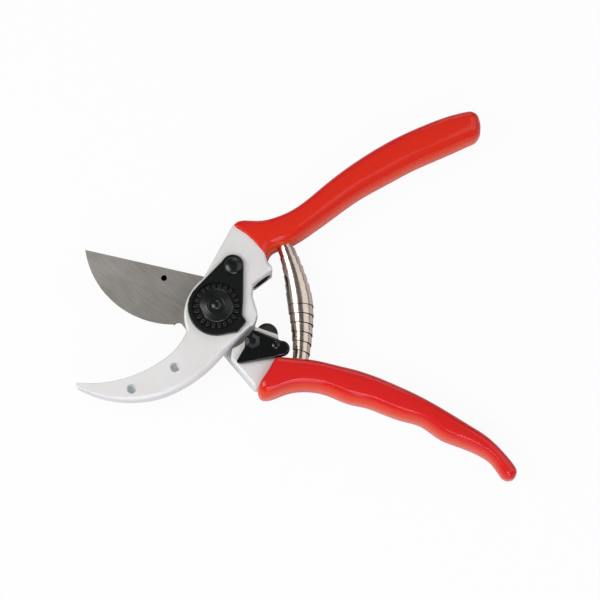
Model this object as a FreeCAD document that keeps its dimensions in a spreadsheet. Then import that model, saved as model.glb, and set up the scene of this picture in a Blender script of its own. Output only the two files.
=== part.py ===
import FreeCAD, Part
import math
import os
import Sketcher

os.makedirs("parts", exist_ok=True)

# Pruning shears, open, lying flat. Millimetres, +Z up.
# The origin is on the pivot axis at the back of the bolt head. +X runs towards the handles.
# The hook, its hub and the upper handle are one body; the blade and the lower handle turn about the pivot.

doc = FreeCAD.newDocument("pruning_shears")
sheet = doc.addObject("Spreadsheet::Sheet", "sizes")


class Dim:
    """A number together with the spreadsheet expression that it comes from."""

    def __init__(self, value, text):
        self.value = float(value)
        self.text = text

    def __add__(self, other):
        other = as_dim(other)
        return Dim(self.value + other.value, f"({self.text} + {other.text})")

    def __sub__(self, other):
        other = as_dim(other)
        return Dim(self.value - other.value, f"({self.text} - {other.text})")

    def __mul__(self, other):
        other = as_dim(other)
        return Dim(self.value * other.value, f"({self.text} * {other.text})")

    def __truediv__(self, other):
        other = as_dim(other)
        return Dim(self.value / other.value, f"({self.text} / {other.text})")

    def __neg__(self):
        return Dim(-self.value, f"(0 - {self.text})")


def as_dim(number):
    """A plain number as a Dim."""
    return number if isinstance(number, Dim) else Dim(number, f"({float(number):.6f})")


def cosine(angle):
    return Dim(math.cos(math.radians(angle.value)), f"cos({angle.text} * 1 deg)")


def sine(angle):
    return Dim(math.sin(math.radians(angle.value)), f"sin({angle.text} * 1 deg)")


size_names = []


def size(name, value):
    """Write one driving dimension into the sheet and return it."""
    size_names.append(name)
    row = len(size_names)
    sheet.set(f"A{row}", name)
    sheet.set(f"B{row}", str(value))
    sheet.setAlias(f"B{row}", name)
    return Dim(value, f"sizes.{name}")


def spot(name, across, along):
    """A named point of an outline: two driving dimensions, measured from the pivot."""
    return size(name + "_across", across), size(name + "_along", along)


def polar(radius, angle):
    return as_dim(radius) * cosine(angle), as_dim(radius) * sine(angle)


def shifted(point, distance, angle):
    """The point that lies a distance away in the direction of the angle."""
    step = polar(distance, angle)
    return point[0] + step[0], point[1] + step[1]


# ---------------------------------------------------------------- driving dimensions

# heights, from the back of the bolt head upwards
bolt_head_thick = size("bolt_head_thick", 1.4)
washer_thick = size("washer_thick", 0.5)
side_play = size("side_play", 0.1)
lower_head_thick = size("lower_head_thick", 5.0)
blade_thick = size("blade_thick", 3.3)
hub_thick = size("hub_thick", 7.1)
segment_thick = size("segment_thick", 1.8)
nut_thick = size("nut_thick", 3.2)
bolt_end_rise = size("bolt_end_rise", 0.7)

washer_base = bolt_head_thick
lower_head_base = washer_base + washer_thick + side_play
blade_base = lower_head_base + lower_head_thick
blade_top = blade_base + blade_thick
hub_base = blade_top + side_play
hub_top = hub_base + hub_thick

# pivot
bolt_radius = size("bolt_radius", 4.0)
bolt_head_radius = size("bolt_head_radius", 8.6)
bush_wall = size("bush_wall", 1.3)
running_clearance = size("running_clearance", 0.05)
bush_radius = bolt_radius + running_clearance + bush_wall
nut_radius = size("nut_radius", 7.9)
nut_flats = size("nut_flats", 13.2)
flat_angle = size("flat_angle", 25.0)
lower_head_radius = size("lower_head_radius", 14.0)
gap = size("gap", 0.35)

# movement and stop: the cushion goes into the boss of the upper handle when the shears close
closing_angle = size("closing_angle", 56.0)
stop_radius = size("stop_radius", 24.2)
stop_angle = size("stop_angle", -23.4)
cushion_angle = size("cushion_angle", 71.0)
cushion_radius = size("cushion_radius", 4.85)
cushion_height = size("cushion_height", 4.3)
shoulder_gap = size("shoulder_gap", 0.8)
shoulder_half = size("shoulder_half", 5.0)
bore_clearance = size("bore_clearance", 0.35)
absorber_thick = size("absorber_thick", 2.0)

# handles
grip_half_thick = size("grip_half_thick", 9.3)
grip_cover = size("grip_cover", 5.1)
grip_middle = grip_half_thick
tang_thick = (grip_half_thick - grip_cover) * 2
tang_base = grip_middle - tang_thick / 2
shank_base = size("shank_base", 2.4)
stop_height = size("stop_height", 8.2)
block_rise = size("block_rise", 4.2)
lower_block_top = grip_middle + block_rise


# ---------------------------------------------------------------- helpers

def origin_plane(body, role):
    return [feature for feature in body.Origin.OriginFeatures if feature.Role == role][0]


def new_sketch(body, name, height):
    """A sketch flat on the body's XY plane, lifted to a height."""
    sketch = body.newObject("Sketcher::SketchObject", name)
    sketch.AttachmentSupport = (origin_plane(body, "XY_Plane"), [""])
    sketch.MapMode = "FlatFace"
    sketch.setExpression(".AttachmentOffset.Base.z", height.text)
    return sketch


def pin_point(sketch, geometry, end, point):
    """Fix one end of an edge at a point bound to the sheet."""
    for kind, axis, part in (("DistanceX", -2, point[0]), ("DistanceY", -1, point[1])):
        if abs(part.value) < 1e-6:
            sketch.addConstraint(Sketcher.Constraint("PointOnObject", geometry, end, axis))
        else:
            index = sketch.addConstraint(Sketcher.Constraint(kind, geometry, end, part.value))
            sketch.setExpression(f"Constraints[{index}]", part.text)


def middle_of_arc(start, end, radius):
    """The middle of an arc from start to end; a positive radius bulges to the left of the way."""
    chord = end - start
    sagitta = abs(radius) - math.sqrt(radius * radius - chord.Length * chord.Length / 4)
    left = FreeCAD.Vector(-chord.y, chord.x, 0).normalize()
    return (start + end) / 2 + left * math.copysign(sagitta, radius)


def draw_outline(sketch, corners):
    """Draw a closed outline of corners (point, bend): bend is None for a straight edge to the next
    corner, or the radius of an arc, positive where it bulges to the left of the way round."""
    spots = [FreeCAD.Vector(point[0].value, point[1].value, 0) for point, bend in corners]
    firsts = []
    for index, (point, bend) in enumerate(corners):
        start = spots[index]
        end = spots[(index + 1) % len(spots)]
        if bend is None:
            edge = Part.LineSegment(start, end)
        else:
            edge = Part.ArcOfCircle(start, middle_of_arc(start, end, bend.value), end)
        geometry = sketch.addGeometry(edge)
        firsts.append(1 if (sketch.getPoint(geometry, 1) - start).Length < 1e-6 else 2)
    for index, (point, bend) in enumerate(corners):
        following = (index + 1) % len(corners)
        last = 3 - firsts[index]
        sketch.addConstraint(Sketcher.Constraint("Coincident", index, last, following, firsts[following]))
    for index, (point, bend) in enumerate(corners):
        pin_point(sketch, index, firsts[index], point)
        if bend is not None:
            radius = bend if bend.value > 0 else -bend
            constraint = sketch.addConstraint(Sketcher.Constraint("Radius", index, radius.value))
            sketch.setExpression(f"Constraints[{constraint}]", radius.text)


def draw_circle(sketch, point, radius):
    centre = FreeCAD.Vector(point[0].value, point[1].value, 0)
    normal = FreeCAD.Vector(0, 0, 1)
    geometry = sketch.addGeometry(Part.Circle(centre, normal, radius.value))
    pin_point(sketch, geometry, 3, point)
    index = sketch.addConstraint(Sketcher.Constraint("Radius", geometry, radius.value))
    sketch.setExpression(f"Constraints[{index}]", radius.text)


def pad(body, name, height, thickness, corners=None, circles=()):
    """Pad an outline, or circles, from a height upwards."""
    sketch = new_sketch(body, name + "_outline", height)
    if corners:
        draw_outline(sketch, corners)
    for point, radius in circles:
        draw_circle(sketch, point, radius)
    feature = body.newObject("PartDesign::Pad", name)
    feature.Profile = sketch
    feature.setExpression("Length", thickness.text)
    doc.recompute()
    return feature


def pocket(body, name, height, depth, corners=None, circles=()):
    """Cut an outline, or circles, from a height downwards; it must remove material."""
    before = body.Shape.Volume
    sketch = new_sketch(body, name + "_outline", height)
    if corners:
        draw_outline(sketch, corners)
    for point, radius in circles:
        draw_circle(sketch, point, radius)
    feature = body.newObject("PartDesign::Pocket", name)
    feature.Profile = sketch
    feature.setExpression("Length", depth.text)
    doc.recompute()
    if body.Shape.Volume > before - 1e-3:
        raise RuntimeError(name + " cuts nothing")
    return feature


def round_edges(body, name, base, radius, wanted):
    """Fillet the edges of the base for which wanted(edge) is true."""
    chosen = [f"Edge{number}" for number, edge in enumerate(base.Shape.Edges, 1) if wanted(edge)]
    feature = body.newObject("PartDesign::Fillet", name)
    feature.Base = (base, chosen)
    feature.setExpression("Radius", radius.text)
    doc.recompute()
    return feature


def place(feature, point, height, direction=None):
    """Bind a primitive's placement; direction is the way its own Z axis lies flat, if it isn't upright."""
    turn = "rotation(vector(0; 0; 1); 0)"
    if direction is not None:
        turn = f"rotation(vector({(-sine(direction)).text}; {cosine(direction).text}; 0); 90)"
    base = f"vector({point[0].text}; {point[1].text}; {height.text})"
    feature.setExpression("Placement", f"placement({base}; {turn})")


def cylinder(name, point, height, radius, length, direction=None):
    feature = doc.addObject("Part::Cylinder", name)
    feature.setExpression("Radius", radius.text)
    feature.setExpression("Height", length.text)
    place(feature, point, height, direction)
    return feature


def cut(name, base, tool):
    feature = doc.addObject("Part::Cut", name)
    feature.Base = base
    feature.Tool = tool
    return feature


def fuse(name, *shapes):
    feature = doc.addObject("Part::MultiFuse", name)
    feature.Shapes = list(shapes)
    return feature


pivot = (as_dim(0), as_dim(0))
nodes = []


def keep(feature, name):
    """Name a finished sub-part after its node and give it its place."""
    feature.Label = name
    if not feature.ExpressionEngine:
        feature.Placement = FreeCAD.Placement()
    nodes.append(feature)
    return feature


# ---------------------------------------------------------------- shared places

# the shoulder of the lower handle, at rest, and the boss of the upper handle that it meets
cushion_seat = polar(stop_radius, stop_angle)
closed_seat = polar(stop_radius, stop_angle + closing_angle)
boss_normal = cushion_angle + closing_angle + 180
boss_face = shifted(closed_seat, -shoulder_gap, boss_normal)
boss_inner = shifted(boss_face, shoulder_half, boss_normal - 90)
boss_outer = shifted(boss_face, -shoulder_half, boss_normal - 90)
shoulder_inner = shifted(cushion_seat, shoulder_half, cushion_angle + 90)
shoulder_outer = shifted(cushion_seat, shoulder_half, cushion_angle - 90)

hook_inner_radius = size("hook_inner_radius", 53.8)
hook_root_radius = size("hook_root_radius", 28.6)
hook_outer_radius = size("hook_outer_radius", 41.6)
hook_nose_radius = size("hook_nose_radius", 44.0)
hub_left_radius = size("hub_left_radius", 19.75)
hook_tip = spot("hook_tip", -61.0, -34.6)
hook_tip_outer = spot("hook_tip_outer", -60.2, -35.8)
hook_mid = spot("hook_mid", -24.9, -25.3)
hook_root = spot("hook_root", -13.2, -11.7)
shank_corner = spot("shank_corner", -5.7, 13.2)
shank_end = spot("shank_end", 7.1, 37.9)
shank_far = spot("shank_far", 19.0, 32.0)
rivet_radius = size("rivet_radius", 2.1)
rivets = (spot("near_rivet", -18.2, -27.4), spot("far_rivet", -37.0, -37.0))

hub_neck = spot("hub_neck", 15.6, 5.6)
tooth_radius = size("tooth_radius", 18.2)
tooth_top = size("tooth_top", -8.0)
tooth_bottom = size("tooth_bottom", -26.0)
tooth_root = size("tooth_root", 17.0)
tooth_root_angle = size("tooth_root_angle", -31.0)
hub_low = spot("hub_low", 9.8, -13.4)
hub_corner = spot("hub_corner", 3.6, -19.6)
hook_back = spot("hook_back", -23.1, -40.0)

catch_radius = size("catch_radius", 22.1)
catch_angle = size("catch_angle", -44.1)
catch_pivot = polar(catch_radius, catch_angle)
catch_screw_radius = size("catch_screw_radius", 1.6)
catch_thick = size("catch_thick", 2.6)
segment_screw_spot = spot("segment_screw", 7.0, 18.2)
segment_screw_radius = size("segment_screw_radius", 1.6)
screw_depth = size("screw_depth", 5.0)

insert_thick = size("insert_thick", 2.2)
insert_back_radius = size("insert_back_radius", 34.2)
insert_tip = spot("insert_tip", -58.6, -34.8)
insert_corner = spot("insert_corner", -9.5, -22.5)
bore_inset = size("bore_inset", 0.1)
bore_depth = size("bore_depth", 4.1)
bore_radius = cushion_radius - bore_inset


# ---------------------------------------------------------------- upper handle with hub and hook

boss_bore = cylinder("boss_bore", boss_face, stop_height, bore_radius, bore_depth + absorber_thick,
                     boss_normal + 180)


def insert_outline():
    """The counter blade: the hook's inner edge, and a back edge inside the casting."""
    return [
        (hook_tip, -hook_inner_radius), (hook_mid, -hook_root_radius), (hook_root, None),
        (insert_corner, insert_back_radius), (insert_tip, None),
    ]


def hook_handle():
    body = doc.addObject("PartDesign::Body", "upper_casting")
    plate = [
        (hook_tip, -hook_inner_radius), (hook_mid, -hook_root_radius), (hook_root, hub_left_radius),
        (shank_corner, None), (shank_end, None), (shank_far, None),
        (boss_outer, None), (boss_inner, None), (hub_neck, None),
        (polar(tooth_radius, tooth_top), tooth_radius), (polar(tooth_radius, tooth_bottom), None),
        (polar(tooth_root, tooth_root_angle), None),
        (hub_low, None), (hub_corner, hook_outer_radius), (hook_back, hook_nose_radius),
        (hook_tip_outer, None),
    ]
    top = pad(body, "hook_plate", hub_base, hub_thick, plate)
    outer_round = size("hook_outer_round", 1.2)

    def outside(edge):
        """The upper edges of the hook's two outer arcs."""
        middle = edge.CenterOfMass
        flat = abs(middle.z - hub_top.value) < 1e-3 and edge.BoundBox.ZLength < 1e-3
        return flat and edge.Curve.TypeId == "Part::GeomCircle" and middle.y < -30 and middle.x < 0 and (
            abs(edge.Curve.Radius - hook_outer_radius.value) < 1e-3
            or abs(edge.Curve.Radius - hook_nose_radius.value) < 1e-3)

    round_edges(body, "hook_round", top, outer_round, outside)
    shank = [
        (spot("shank_inner", 0.6, 24.0), None), (shank_end, None), (shank_far, None),
        (boss_outer, None), (boss_inner, None),
    ]
    neck = pad(body, "shank", shank_base, hub_base + hub_thick / 2 - shank_base, shank)

    def boss_corner(edge):
        """The upright edge at the boss's outer corner."""
        middle = edge.CenterOfMass
        aside = math.hypot(middle.x - boss_outer[0].value, middle.y - boss_outer[1].value)
        return aside < 1e-3 and edge.BoundBox.ZLength > 1

    round_edges(body, "boss_round", neck, size("boss_round", 2.4), boss_corner)
    bend = size("upper_tang_bend", 205.0)
    tang = [
        (spot("upper_tang_start", 8.0, 33.0), None), (spot("upper_tang_neck", 20.5, 38.3), None),
        (spot("upper_tang_top", 34.7, 44.2), bend), (spot("upper_tang_tip", 106.7, 86.0), None),
        (spot("upper_tang_end", 109.0, 80.2), -bend), (spot("upper_tang_low", 39.9, 38.0), None),
        (spot("upper_tang_heel", 27.6, 31.0), None), (spot("upper_tang_foot", 21.0, 22.0), None),
    ]
    pad(body, "tang", tang_base, tang_thick, tang)
    pocket(body, "insert_seat", hub_base + insert_thick, insert_thick, insert_outline())
    pocket(body, "pivot_bore", hub_top, hub_thick, circles=[(pivot, bolt_radius)])
    pocket(body, "rivet_holes", hub_top, hub_thick, circles=[(rivet, rivet_radius) for rivet in rivets])
    pocket(body, "screw_hole", hub_top, screw_depth, circles=[(segment_screw_spot, segment_screw_radius)])
    return keep(cut("upper_casting_bored", body, boss_bore), "hook_handle")


def counter_blade():
    """Steel insert flush in the back of the hook, so that the blade slides past it."""
    body = doc.addObject("PartDesign::Body", "insert")
    pad(body, "strip", hub_base, insert_thick, insert_outline())
    pocket(body, "rivet_holes_insert", hub_base + insert_thick, insert_thick,
           circles=[(rivet, rivet_radius) for rivet in rivets])
    return keep(body, "counter_blade")


def counter_blade_rivets():
    shanks = []
    head_rise = size("rivet_head_rise", 0.3)
    for number, rivet in enumerate(rivets, 1):
        shanks.append(cylinder(f"rivet_{number}", rivet, hub_base, rivet_radius, hub_thick + head_rise))
    return keep(fuse("rivets", *shanks), "counter_blade_rivets")


# ---------------------------------------------------------------- lower handle with the blade

wall_top = spot("wall_top", 2.0, -17.8)
wall_block = spot("wall_block", 6.0, -22.6)
wall_end = spot("wall_end", 16.8, -35.5)
arm_back_angle = size("arm_back_angle", 230.0)
arm_front_angle = size("arm_front_angle", 15.0)
rim_front_angle = size("rim_front_angle", -29.0)
rim_back_angle = size("rim_back_angle", -69.0)
pin_radius = size("pin_radius", 1.8)
pins = (spot("first_pin", 9.4, 0.0), spot("second_pin", -2.5, -10.2))
cushion_screw_radius = size("cushion_screw_radius", 1.5)


def blade_handle():
    body = doc.addObject("PartDesign::Body", "lower_casting")
    pad(body, "head", lower_head_base, lower_head_thick, circles=[(pivot, lower_head_radius)])
    arm = [
        (polar(lower_head_radius, arm_back_angle), None), (wall_top, None), (wall_end, None),
        (spot("arm_end", 26.0, -30.0), None), (shoulder_outer, None), (shoulder_inner, None),
        (polar(lower_head_radius, arm_front_angle), None), (pivot, None),
    ]
    pad(body, "arm", lower_head_base, lower_head_thick, arm)
    rim = tooth_radius + gap * 2
    block = [
        (shoulder_inner, None), (polar(rim, rim_front_angle), rim), (polar(rim, rim_back_angle), None),
        (wall_block, None),
        (wall_end, None), (spot("block_low", 25.0, -35.0), None), (spot("block_high", 29.0, -25.0), None),
        (shoulder_outer, None),
    ]
    pad(body, "block", lower_head_base, lower_block_top - lower_head_base, block)
    bend = size("lower_tang_bend", 200.0)
    tang = [
        (spot("lower_tang_start", 23.0, -24.5), None), (spot("lower_tang_top", 48.0, -27.4), bend),
        (spot("lower_tang_tip", 119.5, -61.3), None), (spot("lower_tang_end", 117.2, -65.0), -bend),
        (spot("lower_tang_low", 48.0, -35.2), None), (spot("lower_tang_heel", 22.0, -34.5), None),
    ]
    pad(body, "tang", tang_base, tang_thick, tang)
    pocket(body, "pivot_bore", lower_head_base + lower_head_thick, lower_head_thick,
           circles=[(pivot, bush_radius)])
    pocket(body, "pin_holes", lower_head_base + lower_head_thick, lower_head_thick,
           circles=[(pin, pin_radius) for pin in pins])
    pocket(body, "catch_hole", lower_block_top, screw_depth, circles=[(catch_pivot, catch_screw_radius)])
    return keep(body, "blade_handle")


def cutting_blade():
    """Plate with a round cutting edge, ground to a bevel on its back, and a sap notch at its root."""
    body = doc.addObject("PartDesign::Body", "blade")
    edge_radius = size("edge_radius", 40.3)
    edge_centre = spot("edge_centre", -19.3, 34.1)
    tang_radius = size("blade_tang_radius", 13.4)
    neck_radius = size("blade_neck_radius", 16.1)
    tang_top = size("blade_tang_top", 60.0)
    tang_front = size("blade_tang_front", -60.0)
    tang_back = size("blade_tang_back", 225.0)
    notch_radius = size("notch_radius", 2.2)
    hole_radius = size("blade_hole_radius", 1.3)
    hole_floor = size("blade_hole_floor", 0.7)
    tip = shifted(edge_centre, edge_radius, size("tip_angle", 188.7))
    edge_start = shifted(edge_centre, edge_radius, size("edge_start_angle", 270.1))
    outline = [
        (tip, None), (spot("spine_root", -4.9, 15.4), neck_radius),
        (polar(tang_radius, tang_top), tang_radius), (polar(tang_radius, tang_front), tang_radius),
        (polar(tang_radius, tang_back), None), (spot("notch_root", -13.6, -8.2), None),
        (spot("notch_end", -15.6, -5.6), -notch_radius), (edge_start, edge_radius),
    ]
    pad(body, "plate", blade_base, blade_thick, outline)
    holes = [(pivot, bush_radius)] + [(pin, pin_radius) for pin in pins]
    pocket(body, "holes", blade_top, blade_thick, circles=holes)
    pocket(body, "blind_hole", blade_top, blade_thick - hole_floor,
           circles=[(spot("blade_hole", -23.8, 15.0), hole_radius)])
    bevel_width = size("bevel_width", 7.0)
    bevel_height = blade_thick - size("edge_land", 0.5)
    around = cylinder("bevel_around", edge_centre, blade_base, edge_radius + bevel_width, bevel_height)
    cone = doc.addObject("Part::Cone", "bevel_cone")
    cone.setExpression("Radius1", (edge_radius - bevel_width).text)
    cone.setExpression("Radius2", edge_radius.text)
    cone.setExpression("Height", bevel_height.text)
    place(cone, edge_centre, blade_base)
    room = doc.addObject("Part::Box", "bevel_room")
    room.setExpression("Length", (edge_radius * 2).text)
    room.setExpression("Width", (edge_radius * 2).text)
    room.setExpression("Height", bevel_height.text)
    place(room, (edge_start[0] - edge_radius * 2, edge_centre[1] - edge_radius * 1.5), blade_base)
    stock = doc.addObject("Part::Common", "bevel_stock")
    stock.Base = cut("bevel_ring", around, cone)
    stock.Tool = room
    return keep(cut("blade_ground", body, stock), "cutting_blade")


def blade_fixing_pins():
    shanks = []
    for number, pin in enumerate(pins, 1):
        shanks.append(cylinder(f"pin_{number}", pin, lower_head_base, pin_radius, lower_head_thick + blade_thick))
    return keep(fuse("pins", *shanks), "blade_fixing_pins")


# ---------------------------------------------------------------- pivot

def pivot_bolt():
    """Head at the back, plain shank, threaded end that stands a little out of the nut."""
    head = cylinder("bolt_head", pivot, as_dim(0), bolt_head_radius, bolt_head_thick)
    length = hub_top + nut_thick + bolt_end_rise
    shank = cylinder("bolt_shank", pivot, as_dim(0), bolt_radius, length)
    return keep(fuse("bolt", head, shank), "pivot_bolt")


def ring(name, height, thickness, outer, inner):
    disc = cylinder(name + "_disc", pivot, height, outer, thickness)
    hole = cylinder(name + "_hole", pivot, height, inner, thickness)
    return keep(cut(name + "_ring", disc, hole), name)


def adjusting_nut():
    """Nut with two flats on a round flange that fills the segment's opening, threaded on the bolt."""
    flange = cylinder("nut_flange", pivot, hub_top, nut_radius, segment_thick)
    disc = cylinder("nut_disc", pivot, hub_top, nut_radius, nut_thick)
    bar = doc.addObject("Part::Box", "nut_bar")
    bar.setExpression("Length", nut_flats.text)
    bar.setExpression("Width", (nut_radius * 2).text)
    bar.setExpression("Height", nut_thick.text)
    corner = shifted(shifted(pivot, -nut_flats / 2, flat_angle), -nut_radius, flat_angle + 90)
    base = f"vector({corner[0].text}; {corner[1].text}; {hub_top.text})"
    bar.setExpression("Placement", f"placement({base}; rotation(vector(0; 0; 1); {flat_angle.text}))")
    blank = doc.addObject("Part::Common", "nut_blank")
    blank.Base = disc
    blank.Tool = bar
    hole = cylinder("nut_hole", pivot, hub_top, bolt_radius, nut_thick)
    return keep(cut("nut", fuse("nut_whole", flange, blank), hole), "adjusting_nut")


def locking_segment():
    """Plate with a ring of fine teeth that the nut sits in, and an ear for its screw."""
    body = doc.addObject("PartDesign::Body", "segment")
    ear_radius = size("ear_radius", 4.8)
    segment_radius = size("segment_radius", 12.7)
    outline = [
        (spot("ear_left", 2.7, 20.6), None), (spot("segment_left", -9.3, 8.2), -segment_radius),
        (spot("segment_low", 2.7, -12.9), None), (spot("segment_foot", 9.2, -11.7), None),
        (spot("segment_nose", 13.2, -7.0), None), (spot("segment_notch", 11.3, -4.0), None),
        (spot("segment_side", 11.5, 2.2), None), (spot("ear_right", 11.6, 18.6), -ear_radius),
    ]
    pad(body, "plate_segment", hub_top, segment_thick, outline)
    clear = nut_radius + gap
    pocket(body, "nut_opening", hub_top + segment_thick, segment_thick, circles=[(pivot, clear)])
    pocket(body, "ear_hole", hub_top + segment_thick, segment_thick,
           circles=[(segment_screw_spot, segment_screw_radius)])
    tooth_width = size("slot_half_width", 0.32)
    tooth_length = size("slot_length", 2.0)
    tooth_depth = size("slot_depth", 0.6)
    start = clear + size("slot_margin", 0.4)
    slot = [
        ((start, -tooth_width), None), ((start + tooth_length, -tooth_width), None),
        ((start + tooth_length, tooth_width), None), ((start, tooth_width), None),
    ]
    slot_count = 20
    full_turn = 360
    groove = pocket(body, "slot", hub_top + segment_thick, tooth_depth, slot)
    teeth = body.newObject("PartDesign::PolarPattern", "slots")
    teeth.Originals = [groove]
    teeth.Axis = (groove.Profile[0], ["N_Axis"])
    teeth.Angle = full_turn
    teeth.Occurrences = slot_count
    body.Tip = teeth
    doc.recompute()
    return keep(body, "locking_segment")


def headed_screw(name, point, height, head_radius, head_thick, shank_radius, depth):
    """A screw seen as a round head and the shank that reaches down from it."""
    head = cylinder(name + "_head", point, height, head_radius, head_thick)
    shank = cylinder(name + "_shank", point, height - depth, shank_radius, depth)
    return keep(fuse(name + "_whole", head, shank), name)


# ---------------------------------------------------------------- thumb catch

def thumb_catch():
    """Lever with a nose that drops behind the hub's tooth, and a raised thumb pad."""
    body = doc.addObject("PartDesign::Body", "lever")
    nose_radius = size("catch_nose_radius", 18.65)
    nose_angle = size("catch_nose_angle", -32.0)
    lobe = size("catch_lobe_radius", 3.8)
    base = lower_block_top + gap
    outline = [
        (polar(nose_radius, nose_angle), None), (spot("catch_shoulder", 18.6, -11.0), None),
        (spot("catch_top", 28.8, -15.0), lobe), (spot("catch_right", 32.4, -18.3), lobe),
        (spot("catch_corner", 28.6, -21.6), None), (spot("catch_low", 26.0, -21.9), None),
        (spot("catch_foot", 10.6, -25.0), None), (spot("catch_heel", 8.9, -23.9), None),
        (spot("catch_hip", 12.6, -17.6), None),
    ]
    pad(body, "plate_catch", base, catch_thick, outline)
    thumb = spot("thumb", 28.7, -18.0)
    thumb_radius = size("thumb_radius", 3.4)
    thumb_rise = size("thumb_rise", 1.4)
    pad(body, "thumb_pad", base, catch_thick + thumb_rise, circles=[(thumb, thumb_radius)])
    pocket(body, "catch_bore", base + catch_thick, catch_thick,
           circles=[(catch_pivot, catch_screw_radius + running_clearance)])
    return keep(body, "thumb_catch")


def catch_screw():
    head_radius = size("catch_head_radius", 3.1)
    head_thick = size("catch_head_thick", 1.2)
    top = lower_block_top + gap + catch_thick + side_play
    return headed_screw("catch_screw", catch_pivot, top, head_radius, head_thick, catch_screw_radius,
                        gap + catch_thick + side_play + screw_depth)


def catch_washer():
    """Thin washer that carries the lever clear of the casting."""
    outer = size("catch_washer_radius", 3.0)
    thickness = gap - running_clearance
    disc = cylinder("catch_washer_disc", catch_pivot, lower_block_top, outer, thickness)
    hole = cylinder("catch_washer_hole", catch_pivot, lower_block_top, catch_screw_radius, thickness)
    return keep(cut("catch_washer_ring", disc, hole), "catch_washer")


# ---------------------------------------------------------------- stop and spring

def rubber_cushion():
    """Dome on the lower handle's shoulder: a ball cut off by the shoulder's face."""
    sphere_radius = (cushion_radius * cushion_radius + cushion_height * cushion_height) / (cushion_height * 2)
    centre = shifted(cushion_seat, cushion_height - sphere_radius, cushion_angle)
    ball = doc.addObject("Part::Sphere", "cushion_ball")
    ball.setExpression("Radius", sphere_radius.text)
    place(ball, centre, stop_height)
    block = cylinder("cushion_room", cushion_seat, stop_height, cushion_radius * 2, cushion_height * 2,
                     cushion_angle)
    dome = doc.addObject("Part::Common", "cushion_dome")
    dome.Base = ball
    dome.Tool = block
    return keep(dome, "rubber_cushion")


def shock_absorber():
    """Disc at the bottom of the boss's bore."""
    floor = shifted(boss_face, -bore_depth, boss_normal)
    return keep(cylinder("absorber", floor, stop_height, bore_radius, absorber_thick, boss_normal + 180),
                "shock_absorber")


spring_top = spot("spring_top", 29.8, 29.8)
spring_bottom = spot("spring_bottom", 36.9, -22.0)
spring_angle = size("spring_angle", -82.2)
spring_bow = size("spring_bow", 3.5)
spring_lean = size("spring_lean", 15.0)
spring_end_radius = size("spring_end_radius", 3.4)
spring_middle_radius = size("spring_middle_radius", 5.75)
peg_radius = size("peg_radius", 3.6)
peg_length = size("peg_length", 6.0)
well_depth = size("well_depth", 1.2)
well_reach = size("well_reach", 12.0)
well_clearance = size("well_clearance", 0.7)


def spring_place(share):
    """Where the spring's axis is after a share of its length, and the way it runs there."""
    along = [spring_top[part] + (spring_bottom[part] - spring_top[part]) * share for part in (0, 1)]
    point = shifted(along, spring_bow * (4 * share * (1 - share)), spring_angle + 90)
    return point, spring_angle + spring_lean * (1 - 2 * share)


def return_spring():
    """The space of the coiled strip: narrow at both ends and wide in the middle."""
    rings = []
    shares = (0.0, 0.25, 0.5, 0.75, 1.0)
    for number, share in enumerate(shares):
        point, direction = spring_place(share)
        ring_here = doc.addObject("Part::Circle", f"spring_ring_{number}")
        swell = math.sin(math.pi * share)
        radius = spring_end_radius + (spring_middle_radius - spring_end_radius) * swell
        ring_here.setExpression("Radius", radius.text)
        place(ring_here, point, grip_middle, direction)
        rings.append(ring_here)
    loft = doc.addObject("Part::Loft", "spring_loft")
    loft.Sections = rings
    loft.Solid = True
    return keep(loft, "return_spring")


def peg(name, share, outward, casting):
    """Seat for one end of the spring: a stub on the handle's tang."""
    point, direction = spring_place(share)
    axis = direction + (0 if outward else 180)
    start = shifted(point, -peg_length, axis)
    stub = cylinder(name + "_stub", start, grip_middle, peg_radius, peg_length - running_clearance * 2, axis)
    return keep(cut(name + "_seated", stub, casting), name)


def well(name, share, outward):
    """The room in a grip for one end of the spring."""
    point, direction = spring_place(share)
    axis = direction + (0 if outward else 180)
    start = shifted(point, -well_depth, axis)
    return cylinder(name, start, grip_middle, spring_end_radius + well_clearance, well_reach, axis)


# ---------------------------------------------------------------- dipped grips

def grip_stations(name, rows):
    """The cross-sections of a grip: place across and along, lean, half width, half thickness, squareness."""
    stations = []
    for number, (across, along, lean, half_width, half_thick, square) in enumerate(rows, 1):
        label = f"{name}_section_{number}"
        centre = spot(label, across, along)
        stations.append((centre, size(label + "_lean", lean), size(label + "_half_width", half_width),
                         grip_half_thick * half_thick, square))
    return stations


def grip_section(centre, lean, half_width, half_thick, square, middle):
    """Closed curve round |u / width| ** square + |v / thickness| ** square = 1, square to the handle.

    It starts at its lowest point, so that the loft's seam keeps clear of the spring's pegs."""
    points = []
    steps = 32
    for step in range(steps):
        turn = 2 * math.pi * (step / steps - 0.25)
        sideways = math.copysign(abs(math.cos(turn)) ** (2 / square), math.cos(turn)) * half_width
        upwards = math.copysign(abs(math.sin(turn)) ** (2 / square), math.sin(turn)) * half_thick
        left = math.radians(lean + 90)
        points.append(FreeCAD.Vector(centre[0] + sideways * math.cos(left), centre[1] + sideways * math.sin(left),
                                     middle + upwards))
    curve = Part.BSplineCurve()
    curve.interpolate(points, PeriodicFlag=True)
    return Part.Wire([curve.toShape()])


def grip(name, stations, *inner):
    """A dipped grip: a loft through its sections, hollowed by what lies inside it."""
    wires = []
    for centre, lean, half_width, half_thick, square in stations:
        middle = grip_middle.value
        wires.append(grip_section((centre[0].value, centre[1].value), lean.value, half_width.value,
                                  half_thick.value, square, middle))
    skin = doc.addObject("Part::Feature", name + "_skin")
    skin.Shape = Part.makeLoft(wires, True, False)
    skin.Placement = FreeCAD.Placement()
    return keep(cut(name + "_dipped", skin, fuse(name + "_core", *inner)), name)


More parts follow.
